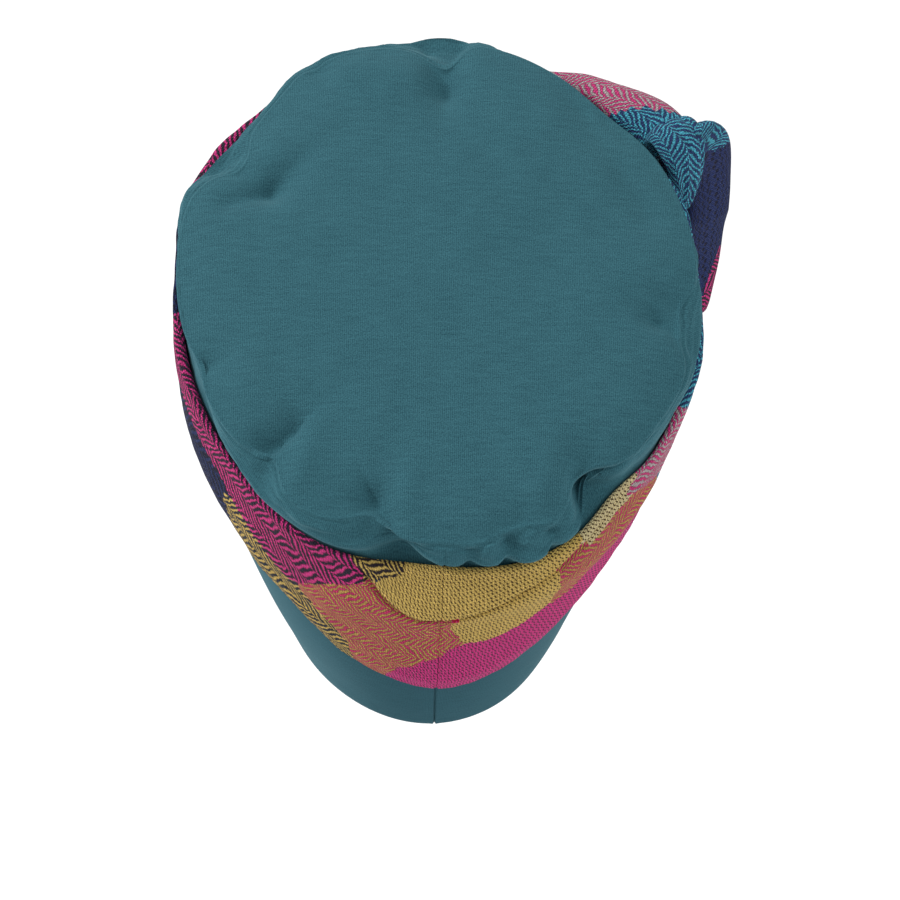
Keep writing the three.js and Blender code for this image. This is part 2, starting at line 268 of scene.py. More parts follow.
def section_at(up):
    """The body's section at a height: half sizes, lean, and how far across, back and up its middle is."""
    rise = np.clip(up / SHOULDER.up, 0, 1)
    full = 1 - (1 - rise) ** FLARE
    half_width = OPENING.half_width + (SHOULDER.half_width - OPENING.half_width) * full
    half_depth = OPENING.half_depth + (SHOULDER.half_depth - OPENING.half_depth) * full
    lean = np.radians(OPENING.tilt + (SHOULDER.tilt - OPENING.tilt) * rise)
    above = up - rise * SHOULDER.up
    across = -SHOULDER.right * rise**2.2
    back = above * np.sin(lean) - SHOULDER.forward * rise * np.cos(lean)
    height = rise * SHOULDER.up + above * np.cos(lean)
    return half_width, half_depth, lean, across, back, height


def on_hat(up, out, angle):
    """Points at heights, distances outside the body and angles."""
    half_width, half_depth, lean, across, back, height = section_at(up)
    turn = np.radians(angle)
    deep = (half_depth + out) * np.sin(turn)
    x = across + (half_width + out) * np.cos(turn)
    return np.stack([x, back + deep * np.cos(lean), height - deep * np.sin(lean)], axis=-1)


def crown_reach(angle):
    """How far the crown's fullest line lies outside the body."""
    wide = CROWN.half_width - SHOULDER.half_width
    deep = CROWN.half_depth - SHOULDER.half_depth
    plain = wide + (deep - wide) * np.sin(np.radians(angle)) ** 2
    return plain + bumps(CROWN_LOBES, "out", angle)


def band_pull(up, angle):
    """How far the band is drawn in at the back right."""
    tall = smooth(BAND_PULL.start, BAND_PULL.full, up)
    tall = tall * (1 - smooth(BAND_PULL.past, BAND_PULL.end, up))
    return BAND_PULL.inward * tall * near(angle, BAND_PULL)


def body_out(up, angle):
    """Outside of the side panel and the band, which the scarf lies on."""
    swell = smooth(SWELL_FROM, CROWN.fullest, up)
    tucked = smooth(PULL_HEIGHTS.start, PULL_HEIGHTS.full, up)
    tucked = tucked * (1 - smooth(PULL_HEIGHTS.past, PULL_HEIGHTS.end, up))
    plain = BAND.out + (crown_reach(angle) - BAND.out) * swell
    return plain - tucked * bumps(SCARF_PULLS, "inward", angle) - band_pull(up, angle)


def seam_out(angle):
    """How far the top panel's seam lies outside the body."""
    return height_at(SEAM_OUTS, angle)


def dent_depth(across, back):
    """How deep the dents are at places on the top panel."""
    depth = np.zeros_like(across)
    for dent in CROWN_DENTS:
        x0, y0 = dent.start
        dx = dent.end[0] - x0
        dy = dent.end[1] - y0
        part = np.clip(((across - x0) * dx + (back - y0) * dy) / (dx * dx + dy * dy), 0, 1)
        away = np.hypot(across - x0 - part * dx, back - y0 - part * dy)
        wide = dent.wide[0] + (dent.wide[1] - dent.wide[0]) * part
        if hasattr(dent, "steep"):
            beside = dx * (back - y0) - dy * (across - x0)
            lean = smooth(-1, 1, beside * dent.steep / np.hypot(dx, dy))
            wide = wide * (1 + (STEEP_SIDE - 1) * lean)
        deep = dent.deep[0] + (dent.deep[1] - dent.deep[0]) * part
        crease = np.sqrt((away / wide) ** 2 + CREASE_ROUND**2) - CREASE_ROUND
        depth += deep * np.exp(-(crease**CREASE_POWER))
    return depth


def seam_ridge(distance, side):
    """The small lip on the top panel's side of the seam (1) and the groove on the other side (-1)."""
    near = smooth(0, SEAM_EDGE, distance)
    if side > 0:
        return LIP.high * near * bell(distance, LIP.from_seam, LIP.spread)
    return -GROOVE.deep * near * bell(distance, GROOVE.from_seam, GROOVE.spread)


def unevenness(points, size, seed):
    """Soft unevenness between -1 and 1 at points in millimetres, with features of a size."""
    shift = Vector((seed * 17.3, seed * 5.1, seed * 9.7))
    flat = points.reshape(-1, 3)
    values = [noise.noise(Vector(point) / size + shift) for point in flat]
    return np.array(values).reshape(points.shape[:-1])


def waves(points, rows):
    """Soft unevenness at points in millimetres, summed over a table of feature sizes and heights."""
    return sum(row.high * unevenness(points, row.size, row.seed) for row in rows)


# Making meshes


def edit_all(change, **options):
    """Runs one change on all of the active piece's mesh."""
    bpy.ops.object.mode_set(mode="EDIT")
    bpy.ops.mesh.select_all(action="SELECT")
    change(**options)
    bpy.ops.object.mode_set(mode="OBJECT")


def cloth_grid(name, points, flat, closes=False):
    """A sheet of cloth: a grid is added, its corners are laid at points, and its sides are sewn.

    points has a row for each line of corners, and flat holds each corner's place on the cloth when
    it lies flat, in metres, which becomes the UV map.
    """
    tall, across = points.shape[0] - 1, points.shape[1] - 1
    bpy.ops.object.select_all(action="DESELECT")
    bpy.ops.mesh.primitive_grid_add(x_subdivisions=across, y_subdivisions=tall, size=1)
    piece = bpy.context.object
    piece.name = name
    piece.data.name = name
    mesh = piece.data
    corners = np.empty(len(mesh.vertices) * 3, np.float32)
    mesh.vertices.foreach_get("co", corners)
    corners = corners.reshape(-1, 3)
    column = np.rint((corners[:, 0] + 0.5) * across).astype(int)
    row = np.rint((corners[:, 1] + 0.5) * tall).astype(int)
    mesh.vertices.foreach_set("co", (points[row, column] * MM).astype(np.float32).ravel())
    used = np.empty(len(mesh.loops), np.int32)
    mesh.loops.foreach_get("vertex_index", used)
    laid = flat[row[used], column[used]].astype(np.float32)
    mesh.uv_layers[0].data.foreach_set("uv", laid.ravel())
    mesh.update()
    if closes:
        edit_all(bpy.ops.mesh.remove_doubles, threshold=0.00001)
    bpy.ops.object.shade_smooth()
    return piece


def face_values(piece, name):
    """The centre or the normal of each face of a piece."""
    faces = piece.data.polygons
    values = np.empty(len(faces) * 3, np.float32)
    faces.foreach_get(name, values)
    return values.reshape(-1, 3)


def face_out(piece, middle):
    """Turns a piece's faces so that most of them look away from a middle point in metres."""
    away = face_values(piece, "center") - np.array(middle, np.float32)
    if (away * face_values(piece, "normal")).sum() < 0:
        piece.data.flip_normals()


def face_outwards(piece):
    """Turns the faces of a closed piece outwards."""
    edit_all(bpy.ops.mesh.normals_make_consistent, inside=False)
    return piece


def thicken(piece, thickness):
    """Gives a sheet its wall, inwards from the face that shows."""
    wall = piece.modifiers.new("wall", "SOLIDIFY")
    wall.thickness = thickness * MM
    wall.offset = -1
    wall.use_even_offset = False
    bpy.context.view_layer.objects.active = piece
    bpy.ops.object.modifier_apply(modifier=wall.name)
    bpy.ops.object.shade_smooth_by_angle(angle=radians(SHARP))


def place_piece(piece, nodes, material):
    """Puts a finished piece in the frame: gives it its material, hangs it on its body and hides the solids
    it stands for.
    """
    piece.data.materials.clear()
    piece.data.materials.append(material)
    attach(piece, "root")
    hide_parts(*nodes)


def columns(count, fine=(), step=0.25, reach=1.5):
    """Angles round the hat, evenly spaced, with more of them close to the fine ones."""
    angles = np.linspace(0, 360, count + 1)
    extra = [middle + np.arange(-reach, reach + step / 2, step) for middle in fine]
    return np.unique(np.round(np.concatenate([angles, *extra]), 3))


def flat_place(angles, distances, radius):
    """Places on the cloth laid flat, in metres, for a band of about one radius."""
    along = np.radians(angles) * radius * MM
    return np.stack([along, np.broadcast_to(distances, along.shape) * MM], axis=-1)


def distances_along(points):
    """How far each point is from the first of its own column, measured along the cloth."""
    steps = np.linalg.norm(np.diff(points, axis=0), axis=2)
    return np.concatenate([np.zeros((1, steps.shape[1])), np.cumsum(steps, axis=0)])


def distance_along(points):
    """How far each row of points is from the first, measured along the cloth at its back seam."""
    back_seam = points.shape[1] // 4
    return distances_along(points[:, [back_seam]])


# The pieces


# The top panel's rings: how far out the wide ones reach, and how its dome falls towards the seam
TOP = Values(columns=400, wide_rings=86, wide_reach=0.962, rim_rings=14, fade=34)
DOME_FALL = [(0.6, 2.4), (0.4, 9)]

# Unevenness of the cloths, and the puckers just inside the seam
TOP_WAVES = table("size high seed", (55, 1.8, 1), (18, 0.6, 2))
SIDE_WAVES = table("size high seed", (12, 1, 4), (5, 0.5, 5))
BAND_WAVES = table("size high seed", (40, 0.7, 6))
SCARF_WAVES = table("size high seed", (22, 0.7, 7), (7, 0.35, 8))
TOP_PUCKERS = Values(size=7, high=0.7, seed=3, start=0.9, full=0.96)


def top_panel():
    """The crown's top: rings from its middle out to the seam, with its dome and its dents."""
    inner = np.linspace(0, TOP.wide_reach, TOP.wide_rings)
    rim = np.linspace(TOP.wide_reach, 1, TOP.rim_rings + 1)[1:]
    angle, part = np.meshgrid(columns(TOP.columns, (SEAM_ANGLE,)), np.concatenate([inner, rim]))
    u = np.cos(np.radians(angle))
    v = np.sin(np.radians(angle))
    lip = seam_ridge((1 - part) * FLAT_RADIUS.top, 1)
    edge = seam_out(angle)
    across = part * u * (SHOULDER.half_width + edge) + 0.4 * lip * u
    back = part * v * (SHOULDER.half_depth + edge) + 0.4 * lip * v
    fade = 1 - part ** TOP.fade
    fall = sum(share * part**power for share, power in DOME_FALL)
    rise = CROWN.dome * (1 - fall) - dent_depth(across, back) * fade
    places = np.stack([across, back, np.zeros_like(across)], axis=-1)
    rise += fade * waves(places, TOP_WAVES)
    pucker = smooth(TOP_PUCKERS.start, TOP_PUCKERS.full, part) * fade
    rise += TOP_PUCKERS.high * pucker * unevenness(places, TOP_PUCKERS.size, TOP_PUCKERS.seed)
    up = SEAM_HEIGHT + rise + 0.9 * lip
    lean = radians(SHOULDER.tilt)
    _, _, _, middle_across, middle_back, height = section_at(up)
    points = np.stack(
        [middle_across + across, middle_back + back * cos(lean), height - back * sin(lean)], axis=-1
    )
    piece = cloth_grid("crown_top_panel", points, np.stack([across, back], axis=-1) * MM, closes=True)
    face_out(piece, (0, 0, 0))
    thicken(piece, JERSEY)
    return piece


# The side panel: where it starts under the scarf, how much it bags inwards where the seam is drawn in,
# and how much of its inward and outward folds stays on the arch
SIDE = Values(columns=400, foot=118, rows=25, bag_from=6, bag_most=12, bag=0.4)
KEPT_FOLDS = Values(inward=0.9, low=0.35, full=0.4)
FOLD_HEIGHTS = (144, 156)


def side_folds(angle, row, turn):
    """The side panel's folds and its unevenness, and how much of them stays at each place."""
    ring = ring_places(angle, CROWN_RING, row * 0.5)
    folds = bumps(SIDE_FOLDS, "out", angle) + waves(ring, SIDE_WAVES)
    outward = KEPT_FOLDS.low + (1 - KEPT_FOLDS.low) * smooth(0, KEPT_FOLDS.full, turn)
    return folds, np.where(folds < 0, KEPT_FOLDS.inward, outward)


def side_panel():
    """The gathered side: up from under the scarf, out round the crown's edge and in to the seam."""
    fullest = CROWN.fullest
    rises = np.linspace(SIDE.foot, fullest, SIDE.rows + 1)[:-1]
    arch = np.concatenate([np.linspace(0, 0.78, 16), np.linspace(0.78, 1, 12)[1:]])
    rows = np.concatenate([rises, fullest + arch * 100])
    angle, row = np.meshgrid(columns(SIDE.columns, (SEAM_ANGLE,)), rows)
    turn = np.clip((row - fullest) / 100, 0, 1)
    up = np.minimum(row, fullest)
    drawn_in = crown_reach(angle) - seam_out(angle)
    bag = SIDE.bag * np.clip(drawn_in - SIDE.bag_from, 0, SIDE.bag_most) * np.sin(turn * pi)
    bend = np.radians(ARCH_END) * turn
    inward = (1 - np.cos(bend)) / (1 - cos(radians(ARCH_END)))
    rising = np.sin(bend) / sin(radians(ARCH_END))
    out = body_out(up, angle) - drawn_in * inward - 0.7 * bag
    up = up + (SEAM_HEIGHT - fullest) * rising - bag
    from_seam = (1 - turn) * np.hypot(SEAM_HEIGHT - fullest, drawn_in)
    folds, kept = side_folds(angle, row, turn)
    folds *= smooth(0, 3, from_seam)
    out += folds * np.cos(bend) * kept * smooth(*FOLD_HEIGHTS, row)
    up += folds * np.sin(bend)
    groove = seam_ridge(from_seam, -1)
    out += 0.5 * groove - 0.7 * nearness(angle, SEAM_ANGLE, SEAM_GROOVE) * smooth(0, 3, from_seam)
    up += 0.8 * groove
    points = on_hat(up, out, angle)
    flat = flat_place(angle, distance_along(points), FLAT_RADIUS.side)
    piece = cloth_grid("crown_side_panel", points, flat, closes=True)
    face_out(piece, (0, 0, 0.12))
    thicken(piece, JERSEY)
    return piece


def lower_band():
    """The head band: turned under at the head opening, with its back seam."""
    inner = np.linspace(BAND.turned_in, BAND.edge, 6)
    edge = np.linspace(0, pi, 7)[1:-1]
    outer = np.linspace(BAND.edge, BAND.top, 40)
    ups = np.concatenate([inner, BAND.edge * (1 - np.sin(edge)), outer])
    outs = np.concatenate([0 * inner, 1 - np.cos(edge), np.full(len(outer), BAND.out)])
    angle, row = np.meshgrid(columns(360, (SEAM_ANGLE,)), np.arange(len(ups)))
    up = ups[row]
    out = outs[row].astype(float)
    shown = smooth(0, 20, up) * (row >= len(inner) + len(edge))
    out += shown * waves(ring_places(angle, BAND_RING, up), BAND_WAVES)
    groove = BAND_SEAM.deep * nearness(angle, SEAM_ANGLE, SEAM_GROOVE)
    shoulders = BAND_SEAM.raised * nearness(angle, SEAM_ANGLE, BAND_SEAM.spread)
    out += (shoulders - groove) * (row >= len(inner))
    out -= band_pull(up, angle)
    nape = near(angle, NAPE) * (1 - smooth(0, NAPE.end, up))
    up = up - NAPE.low * nape
    points = on_hat(up, out, angle)
    flat = flat_place(angle, distance_along(points), FLAT_RADIUS.band)
    piece = cloth_grid("head_band_cloth", points, flat, closes=True)
    face_out(piece, (0, 0, 0.03))
    thicken(piece, BAND_JERSEY)
    return piece


# Lines where an upper layer of the scarf laps over a lower one, as rows of angle, height and how far
# it stands out
SCARF_FOLDS = [
    [(58, 160, 0), (66, 155, 0.3), (72, 147, 1.5), (78, 134, 3.6), (84, 125, 4.6), (92, 123, 4.8),
     (100, 128, 4.6), (110, 137, 4.2), (120, 143, 3.8), (130, 146, 3), (140, 149, 1.4), (152, 153, 0),
     (250, 153, 0)],
    [(20, 118, 0), (32, 120, 0.7), (48, 112, 0.9), (60, 102, 0.6), (70, 96, 0), (200, 100, 0)],
    [(222, 152, 2.6), (240, 143, 3.2), (262, 131, 2.8), (285, 120, 2), (310, 112, 0), (100, 120, 0),
     (205, 158, 0)],
    [(226, 158, 0), (210, 148, 2.2), (190, 136, 2.2), (172, 126, 1.4), (158, 120, 0), (20, 130, 0),
     (300, 150, 0)],
    [(222, 136, 2), (236, 122, 2.4), (252, 110, 1.8), (268, 101, 0), (100, 100, 0), (205, 140, 0)],
    [(236, 160, 0), (252, 152, 1.6), (280, 143, 2.4), (310, 138, 2), (340, 134, 1.4), (8, 128, 0),
     (120, 130, 0)],
]

# A fold's profile across its line: the lap that stands out and fades above, and the tuck beside it
FOLD = Values(lap=1.6, lap_share=0.45, fade=20, tuck=1.7, tuck_share=1.15, tuck_below=0.5)

# How far the scarf's hem and edge curve beyond its outer face, and how thin they are of its thickness
HEM_ROUND = 2.2
HEM_THIN = Values(share=0.6, reach=0.16)
EDGE_THIN = Values(share=0.85, reach=0.1)
THINNEST = 1.2


def scarf_fold(angle, up):
    """How far the layers above the scarf's folds stand out over those below."""
    out = np.zeros_like(up)
    for line in SCARF_FOLDS:
        rows = sorted(line)
        height = height_at([row[:2] for row in rows], angle)
        step = np.clip(height_at([row[::2] for row in rows], angle), 0, None)
        above = up - height
        lap = smooth(-FOLD.lap, FOLD.lap, above) * np.exp(-np.clip(above, 0, None) / FOLD.fade)
        tuck = bell(above, -FOLD.tuck_below, FOLD.tuck)
        out += step * (FOLD.lap_share * lap - FOLD.tuck_share * tuck)
    return out


def scarf_shape(angle, part):
    """Heights and thicknesses of the scarf's outer face, from its hem (part 0) to its edge (1)."""
    hem = height_at(HEM_HEIGHTS, angle) + HEM_ROUND
    edge = height_at(EDGE_HEIGHTS, angle) - HEM_ROUND
    up = hem + (edge - hem) * part
    rolls = sum(
        row.out * bell(up, row.up, row.tall) * near(angle, row)
        for row in SCARF_ROLLS
    )
    puff_round = near(angle, PUFF) * smooth(PUFF.start, PUFF.full, angle)
    puffed = PUFF.out * bell(up, PUFF.up, PUFF.tall) * puff_round
    thinning = 1
    for end, from_end in ((HEM_THIN, part), (EDGE_THIN, 1 - part)):
        thinning = thinning * (end.share + (1 - end.share) * smooth(0, end.reach, from_end))
    return up, np.maximum((KNIT + rolls + scarf_fold(angle, up)) * thinning, THINNEST) + puffed


def scarf_wrap():
    """The scarf wound round the hat, a closed tube: its hem, its face, its upper edge and its lining."""
    turned, face, lining = 9, 92, 8
    rows = np.arange(turned + face + turned + lining)
    angle, row = np.meshgrid(columns(640, (SEAM_ANGLE, PUFF.full), 0.3), rows)
    down = np.clip((row - 2 * turned - face + 1) / lining, 0, 1)
    part = np.where(down > 0, 1 - down, np.clip((row - turned) / (face - 1), 0, 1))
    up, thick = scarf_shape(angle, part)
    under = body_out(up, angle) + WRAP_GAP
    ring = ring_places(angle, CROWN_RING, up)
    thick = thick + waves(ring, SCARF_WAVES)
    thick -= 0.9 * nearness(angle, SEAM_ANGLE, 0.4)
    below = np.clip((turned - row) / turned, 0, 1)
    above = np.clip((row - turned - face + 1) / turned, 0, 1) * (down == 0)
    around = (below + above) * pi
    half = thick / 2
    curl = np.where(down > 0, 0, half * (1 + np.cos(around)))
    shift = np.clip(half - 1.5, HEM_ROUND, 9) * np.sin(around)
    points = on_hat(up + np.where(row < turned, -shift, shift), under + curl, angle)
    points = np.concatenate([points, points[:1]])
    angle = np.concatenate([angle, angle[:1]])
    distance = distances_along(points)
    flat = flat_place(angle, distance - distance[turned], FLAT_RADIUS.scarf)
    piece = cloth_grid("scarf_wrap", points, flat, closes=True)
    face_out(piece, (0, 0, 0.1))
    return piece


# The width of the jersey's wales in metres, and the shades (sRGB, 0 to 255) and sheen of each jersey
WALE = 0.0009
CROWN_LOOK = Values(dark=(31, 68, 79), light=(65, 115, 126), sheen=0.2)
BAND_LOOK = Values(dark=(33, 70, 81), light=(51, 93, 105), sheen=0.12)

# Pairs of yarns in the scarf: the one that shows most and the one behind it (sRGB, 0 to 255), and how
# wide a stroke of the herringbone is, in metres
YARN_PAIRS = table(
    "name yarn ground pitch",
    ("navy", (33, 46, 92), (20, 24, 50), 0.0052),
    ("cyan", (76, 168, 192), (40, 60, 108), 0.0034),
    ("coral", (205, 55, 106), (194, 156, 84), 0.0031),
    ("pink", (208, 56, 124), (184, 170, 172), 0.0031),
    ("magenta", (214, 58, 134), (44, 37, 54), 0.0038),
    ("mustard", (212, 180, 99), (38, 44, 60), 0.0038),
    ("mustard_brown", (212, 180, 99), (80, 58, 32), 0.0038),
    ("mustard_ink", (212, 180, 99), (40, 32, 40), 0.0038),
    ("straw", (214, 198, 150), (80, 58, 32), 0.0038),
    ("red", (196, 36, 66), (214, 58, 134), 0.0038),
)
PAIRS = {row.name: row for row in YARN_PAIRS}

# The two kinds of knit, as the materials read them
HERRINGBONE = 0.0
WAFFLE = 1.0

# The slanting edge of the pink block on the puff
PINK_EDGE = Values(angle=225.5, slope=0.33, past=240, up=150)

# Blocks of the scarf's colours, painted in this order: corners are (angle, up), and the block without
# corners is the one on the puff
SCARF_BLOCKS = table(
    "pair knit corners",
    ("navy", HERRINGBONE, [(0, 40), (360, 40), (360, 190), (0, 190)]),
    ("cyan", HERRINGBONE, [(150, 40), (228, 40), (228, 190), (150, 190)]),
    ("coral", HERRINGBONE, [(90, 90), (150, 90), (142, 150), (124, 152), (90, 152)]),
    ("pink", HERRINGBONE, None),
    ("pink", HERRINGBONE, [(226, 190), (228, 118), (244, 108), (262, 106), (266, 190)]),
    ("magenta", WAFFLE, [(218, 40), (222, 130), (238, 122), (250, 112), (246, 40)]),
    ("coral", HERRINGBONE, [(246, 40), (250, 112), (262, 114), (284, 106), (280, 40)]),
    ("mustard", HERRINGBONE, [(262, 114), (284, 106), (300, 112), (306, 190), (264, 190)]),
    ("mustard_brown", WAFFLE, [(280, 40), (284, 106), (300, 112), (316, 104), (314, 40)]),
    ("magenta", HERRINGBONE, [(300, 112), (316, 104), (336, 112), (338, 190), (306, 190)]),
    ("cyan", HERRINGBONE, [(314, 40), (316, 104), (336, 112), (344, 40)]),
    ("mustard", HERRINGBONE, [
        (28, 40), (33, 129), (40, 135), (58, 125), (64, 104), (69, 86), (69, 40)]),
    ("magenta", HERRINGBONE, [
        (0, 143), (14, 141), (24, 138), (31, 135), (36, 131), (46, 127), (55, 118), (58, 121),
        (66, 132), (74, 139), (72, 150), (66, 155), (55, 155), (52, 190), (0, 190)]),
    ("mustard_ink", HERRINGBONE, [
        (52, 190), (55, 155), (66, 155), (72, 150), (74, 139), (78, 144), (82, 147), (83, 152),
        (88, 154), (92, 153), (92, 190)]),
    ("coral", HERRINGBONE, [
        (58, 121), (66, 132), (74, 139), (76, 141), (78, 135), (80, 129), (84, 124), (94, 126),
        (94, 112), (98, 99), (94, 94), (92, 87), (88, 84), (85, 79), (82, 78), (78, 65), (76, 40),
        (69, 40), (69, 86), (64, 102), (58, 116)]),
    ("mustard_brown", WAFFLE, [
        (76, 141), (78, 135), (80, 129), (84, 124), (94, 126), (94, 112), (98, 97), (104, 96),
        (110, 99), (114, 103), (119, 107), (118, 133), (117, 143), (124, 149), (124, 190), (92, 190),
        (92, 153), (83, 152), (82, 147), (78, 144)]),
    ("magenta", WAFFLE, [
        (76, 40), (78, 65), (82, 78), (85, 79), (88, 84), (92, 87), (94, 94), (98, 98), (104, 97),
        (110, 100), (114, 104), (118, 107), (125, 111), (132, 124), (150, 110), (165, 100), (165, 40)]),
    ("coral", HERRINGBONE, [
        (117, 143), (118, 133), (119, 106), (125, 109), (132, 122), (150, 108), (150, 134),
        (142, 142), (138, 142), (132, 142), (126, 141), (120, 142)]),
    ("straw", WAFFLE, [
        (124, 190), (123, 148), (126, 141), (132, 142), (138, 142), (142, 145), (143, 190)]),
    ("pink", HERRINGBONE, [
        (138, 145), (142, 142), (150, 134), (160, 120), (172, 100), (168, 130), (158, 156),
        (156, 190), (142, 190), (142, 150)]),
    ("red", WAFFLE, [(92.5, 124), (95.5, 124), (95.5, 120.5), (92.5, 120.5)]),
)


def linear(colour):
    """A colour as the shaders take it, from its sRGB values."""
    values = np.array(colour, float) / 255
    return np.where(values <= 0.04045, values / 12.92, ((values + 0.055) / 1.055) ** 2.4)


def inside(corners, x, y):
    """Which of the places x, y lie inside a block's outline."""
    result = np.zeros(x.shape, bool)
    for (x0, y0), (x1, y1) in zip(corners, corners[1:] + corners[:1]):
        if y0 == y1:
            continue
        crosses = (y0 > y) != (y1 > y)
        result ^= crosses & (x < (x1 - x0) * (y - y0) / (y1 - y0) + x0)
    return result


def knit_colours(piece, yarn, ground, knit, pitch):
    """Stores each face's two yarns, its kind of knit and its pitch on the piece."""
    for name, values in (("yarn", yarn), ("ground", ground)):
        attribute = piece.data.attributes.new(name, "FLOAT_COLOR", "FACE")
        rgba = np.concatenate([values, np.ones((len(values), 1))], axis=1)
        attribute.data.foreach_set("color", rgba.astype(np.float32).ravel())
    for name, values in (("knit", knit), ("pitch", pitch)):
        attribute = piece.data.attributes.new(name, "FLOAT", "FACE")
        attribute.data.foreach_set("value", values.astype(np.float32))


def paint(piece, layers):
    """Gives the faces of a piece their yarns: each layer has the faces it covers, its pair and its knit."""
    count = len(piece.data.polygons)
    yarn = np.zeros((count, 3))
    ground = np.zeros((count, 3))
    knit = np.zeros(count)
    pitch = np.zeros(count)
    for covered, name, kind in layers:
        pair = PAIRS[name]
        yarn[covered] = linear(pair.yarn)
        ground[covered] = linear(pair.ground)
        knit[covered] = kind
        pitch[covered] = pair.pitch
    knit_colours(piece, yarn, ground, knit, pitch)


def paint_scarf(piece):
    """Works out each face's yarns from the table of blocks."""
    angle, up, out = hat_place(face_values(piece, "center") / MM)
    edge = PINK_EDGE.angle - PINK_EDGE.slope * out
    puffed = (angle > edge) & (angle < PINK_EDGE.past) & (up > PINK_EDGE.up)
    layers = []
    for block in SCARF_BLOCKS:
        covered = inside(block.corners, angle, up) if block.corners else puffed
        layers.append((covered, block.pair, block.knit))
    paint(piece, layers)


# How the search for a point's place on the hat runs
SEARCH = Values(rounds=12, step=0.8, lowest=-20, highest=190)


def hat_place(points):
    """The angle, the height and the distance out of points in millimetres near the hat's surface."""
    up = points[:, 2].astype(float)
    angle = np.zeros_like(up)
    for _ in range(SEARCH.rounds):
        half_width, half_depth, lean, across, back, height = section_at(up)
        aside = points[:, 0] - across
        ahead = points[:, 1] - back
        level = points[:, 2] - height
        deep = ahead * np.cos(lean) - level * np.sin(lean)
        off = ahead * np.sin(lean) + level * np.cos(lean)
        angle = np.degrees(np.arctan2(deep / half_depth, aside / half_width)) % 360
        up = np.clip(up + SEARCH.step * off, SEARCH.lowest, SEARCH.highest)
    turn = np.radians(angle)
    body = np.hypot(half_width * np.cos(turn), half_depth * np.sin(turn))
    return angle, up, np.hypot(aside, deep) - body


# The knot: a loop of scarf, and the scarf's end coming out of it, in a frame of their own
KNOT = Values(up=155, out=28.5, angle=211, facing=214)
LOOP = Values(inner=-16, outer=2, half_tall=25, half_wide=15, thick=7, low=3, aside=4)
LOOP_TOP = Values(inner=-6, outer=5)
LOOP_FOOT = Values(inner=4, outer=-7)
LOOP_SECTION = table(
    "along deep",
    (-1, 0.3), (-0.82, 0.8), (-0.35, 1), (0.25, 1.05), (0.82, 0.85), (1, 0.3), (0.8, 0), (-0.75, 0),
)
LOOP_PLEATS = Values(across=5.5, sway=1.3, shift=0.6, deep=0.2, sharp=0.7, level=0.6)
LOOP_FLAT = Values(radius=20.5, step=0.95)

# The flap: how its cloth slants, how square its section is, its length round, the crease on its outer
# side, how far it swings aside lower down, and its line from the loop to its end
TAIL = Values(slant=28, square=0.75, round=60)
TAIL_CREASE = Values(deep=1.2, at=0.15, spread=0.16, start=0.2, full=0.5)
TAIL_SWING = Values(aside=5, start=-36, length=70)
TAIL_LINE = table(
    "outward upright half thick",
    (-16, -2, 12, 10),
    (-1, 1.5, 14.5, 13),
    (8.5, 4, 15.5, 12),
    (13.5, -20, 13.5, 9),
    (14, -44, 13.5, 7),
    (16, -68, 12, 7),
    (14, -89, 8.5, 6.5),
    (13.5, -98, 4.5, 4),
)


def on_knot(outward, sideways, upright):
    """Points in the knot's own frame."""
    origin = on_hat(np.array(float(KNOT.up)), KNOT.out, KNOT.angle)
    facing = radians(KNOT.facing)
    x = origin[0] + outward * cos(facing) - sideways * sin(facing)
    y = origin[1] + outward * sin(facing) + sideways * cos(facing)
    return np.stack([x, y, origin[2] + upright], axis=-1)


def smooth_table(rows, columns_wanted, count):
    """Values read along a table's rows on smooth curves, at an even spacing."""
    places = np.linspace(0, len(rows) - 1, count)
    index = np.minimum(places.astype(int), len(rows) - 2)
    part = places - index
    result = []
    for column in columns_wanted:
        values = np.array([getattr(row, column) for row in rows], float)
        padded = np.concatenate([[2 * values[0] - values[1]], values, [2 * values[-1] - values[-2]]])
        p0, p1, p2, p3 = (padded[index + shift] for shift in range(4))
        rest = 2 * p0 - 5 * p1 + 4 * p2 - p3 + part * (3 * (p1 - p2) + p3 - p0)
        result.append(p1 + 0.5 * part * (p2 - p0 + part * rest))
    return result


def knot_loop():
    """The loop of scarf, a closed ring with a rounded section and pleats along it."""
    around, across = 150, 48
    along, deep = smooth_table(LOOP_SECTION + LOOP_SECTION[:1], ("along", "deep"), across + 1)
    turn, index = np.meshgrid(np.linspace(0, 2 * pi, around + 1), np.arange(across + 1))
    along, deep = along[index], deep[index]
    sway = LOOP_PLEATS.sway * np.sin(turn)
    ridge = np.abs(np.sin(along * LOOP_PLEATS.across + sway + LOOP_PLEATS.shift))
    pleat = LOOP_PLEATS.deep * (ridge ** LOOP_PLEATS.sharp - LOOP_PLEATS.level)
    pleat = pleat * smooth(0.4, 1, deep)
    wobble = 1 + 0.03 * np.sin(turn * 2 + 1) + 0.02 * np.sin(turn * 5)
    inward = LOOP.thick * (1 - deep - pleat)
    sideways = (LOOP.half_wide - inward) * np.sin(turn) * wobble + LOOP.aside
    upright = (LOOP.half_tall - inward) * np.cos(turn) * wobble - LOOP.low
    top = np.clip(np.cos(turn), 0, 1)
    foot = np.clip(-np.cos(turn), 0, 1)
    inner = LOOP.inner + LOOP_TOP.inner * top + LOOP_FOOT.inner * foot
    outer = LOOP.outer + LOOP_TOP.outer * top + LOOP_FOOT.outer * foot
    points = on_knot((inner + outer) / 2 + (outer - inner) / 2 * along, sideways, upright)
    laid = np.cumsum(np.full(along.shape, LOOP_FLAT.step), axis=0)
    flat = np.stack([turn * LOOP_FLAT.radius * MM, laid * MM], axis=-1)
    return face_outwards(cloth_grid("knot_loop", points, flat, closes=True))


